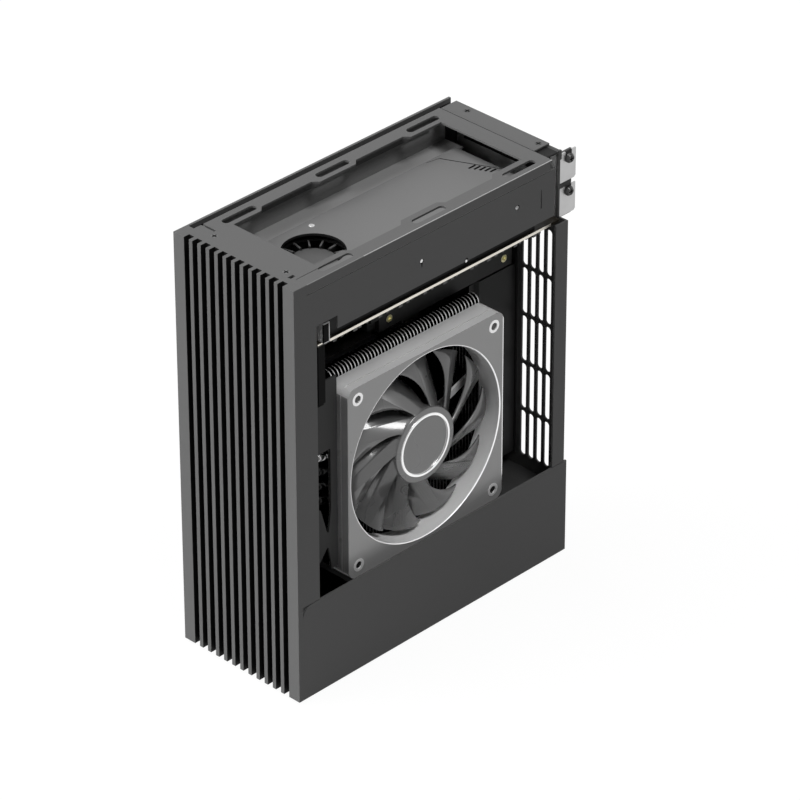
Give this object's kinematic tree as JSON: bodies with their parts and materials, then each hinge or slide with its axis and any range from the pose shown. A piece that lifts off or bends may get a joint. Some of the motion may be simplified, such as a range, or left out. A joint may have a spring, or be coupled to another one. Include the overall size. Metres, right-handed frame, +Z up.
{
  "type": "mini computer case",
  "caption": "Slim upright computer case with a slotted metal front, open top frame and open side, with cooler, graphics card, mainboard and power supply fitted.",
  "frame": {"origin": "centre of the footprint on the surface that the rubber feet stand on", "axes": "+Z up, the slotted front faces -Y, the open side faces +X"},
  "size_m": [0.0894, 0.2224, 0.2587],
  "materials": {
    "satin_grey": "fine satin powder coat",
    "dark_grey_paint": "satin powder coat",
    "black_rubber": "matte",
    "white_rubber": "matte",
    "black_steel": "black oxide",
    "black_metal": "satin black",
    "bright_metal": "plated",
    "nickel": "nickel plate",
    "brass": "plain",
    "black_plastic": "fine grain",
    "fan_grey": "half gloss",
    "fan_silver": "satin",
    "shroud_grey": "satin",
    "board_black": "solder mask"
  },
  "bodies": {
    "case": {"front_panel": "satin_grey", "top_frame": "satin_grey", "right_side_frame": "dark_grey_paint", "left_side_panel": "dark_grey_paint", "rear_wall": "dark_grey_paint", "board_tray": "dark_grey_paint", "front_wall": "dark_grey_paint", "bottom_plate": "dark_grey_paint", "lower_side_cover": "dark_grey_paint", "rubber_feet": "black_rubber", "case_screws": "black_steel", "button_housing": "black_plastic", "mainboard": "board_black", "board_standoffs": "brass", "board_screws": "bright_metal", "cpu_socket": "bright_metal", "processor": "bright_metal", "memory_slots": "black_plastic", "memory_stick_a": "black_metal", "memory_stick_b": "black_metal", "board_power_socket": "black_plastic", "card_slot": "black_plastic", "io_shield": "black_steel", "usb_ports": "bright_metal", "network_port": "bright_metal", "video_ports": "bright_metal", "audio_jacks": "black_plastic", "io_cover": "black_metal", "drive_cover": "black_metal", "cover_screws": "brass", "cooler_bracket": "bright_metal", "cooler_base": "nickel", "heat_pipes": "nickel", "fin_stack": "black_metal", "fan_frame": "fan_silver", "fan_rings": "white_rubber", "fan_screws": "black_steel", "gpu_board": "board_black", "gpu_heatsink": "black_metal", "gpu_shroud": "shroud_grey", "blower_motor": "black_plastic", "gpu_ports": "bright_metal", "gpu_bracket": "bright_metal", "slot_screws": "black_steel", "gpu_stay": "black_steel", "psu_housing": "dark_grey_paint", "psu_inlet": "black_plastic", "psu_screws": "bright_metal"},
    "cooler_fan": {"fan_rotor": "fan_grey"},
    "card_blower": {"blower_rotor": "black_plastic"},
    "supply_fan": {"psu_fan_rotor": "black_plastic"},
    "button": {"power_button": "bright_metal"},
    "rocker": {"psu_rocker": "black_plastic"}
  },
  "joints": [
    {"name": "cooler_fan_spin", "type": "hinge", "parent": "case", "child": "cooler_fan", "pos_m": [0.03, -0.00467, 0.1142], "axis": [1, 0, 0], "continuous": true},
    {"name": "card_blower_spin", "type": "hinge", "parent": "case", "child": "card_blower", "pos_m": [0.0032, -0.0557, 0.23], "axis": [0, 0, 1], "continuous": true},
    {"name": "supply_fan_spin", "type": "hinge", "parent": "case", "child": "supply_fan", "pos_m": [-0.016, 0.086, 0.02485], "axis": [0, 1, 0], "continuous": true},
    {"name": "power_button_press", "type": "slide", "parent": "case", "child": "button", "axis": [0, -1, 0], "range_m": [0, 0.0014], "stiffness_N_per_m": 300, "springref_m": -0.002},
    {"name": "rocker_tip", "type": "hinge", "parent": "case", "child": "rocker", "pos_m": [0.022, 0.0955, 0.0348], "axis": [0, 0, 1], "range_deg": [-14, 0]}
  ]
}
